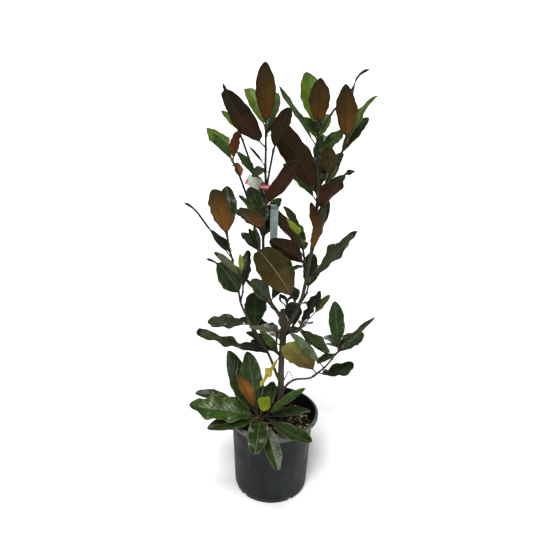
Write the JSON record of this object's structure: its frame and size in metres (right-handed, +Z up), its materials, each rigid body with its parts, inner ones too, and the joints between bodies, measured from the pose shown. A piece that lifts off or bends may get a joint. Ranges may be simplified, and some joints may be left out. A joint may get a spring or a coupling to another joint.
{
  "type": "potted magnolia tree",
  "caption": "Young evergreen magnolia with glossy leaves and rusty undersides on a forked stem, in a black plastic nursery pot of bark mix.",
  "frame": {"origin": "centre of the pot's flat underside", "axes": "+Z up along the pot's axis, -Y towards the plant's front, +X to the right seen from the front"},
  "size_m": [0.4947, 0.4271, 1.2017],
  "materials": {
    "pot_plastic": "black moulded plastic, slightly scuffed",
    "bark_mix": "loose composted bark, matte",
    "bark": "grey-brown young bark, matte",
    "foliage": "glossy green leaves with rusty brown felted undersides",
    "label_plastic": "thin printed plastic, left bare"
  },
  "bodies": {
    "root": {"pot": "pot_plastic", "soil": "bark_mix", "trunk": "bark", "left_leader": "bark", "right_leader": "bark", "left_low_bough": "bark", "right_low_bough": "bark", "left_top_shoot": "foliage", "left_front_shoot": "foliage", "left_high_shoot": "foliage", "left_outer_shoot": "foliage", "left_inner_shoot": "foliage", "left_mid_shoot": "foliage", "right_top_shoot": "foliage", "right_outer_shoot": "foliage", "right_upper_shoot": "foliage", "right_mid_shoot": "foliage", "right_inner_shoot": "foliage", "right_low_shoot": "foliage", "fork_shoot": "foliage", "trunk_right_shoot": "foliage", "left_low_top_shoot": "foliage", "left_low_mid_shoot": "foliage", "left_low_shoot": "foliage", "left_fork_shoot": "foliage", "trunk_left_shoot": "foliage", "right_low_top_shoot": "foliage", "low_front_shoot": "foliage", "low_left_shoot": "foliage", "back_low_shoot": "foliage", "back_left_shoot": "foliage", "back_right_shoot": "foliage", "loop_label": "label_plastic", "hanging_tag": "label_plastic"}
  },
  "joints": []
}
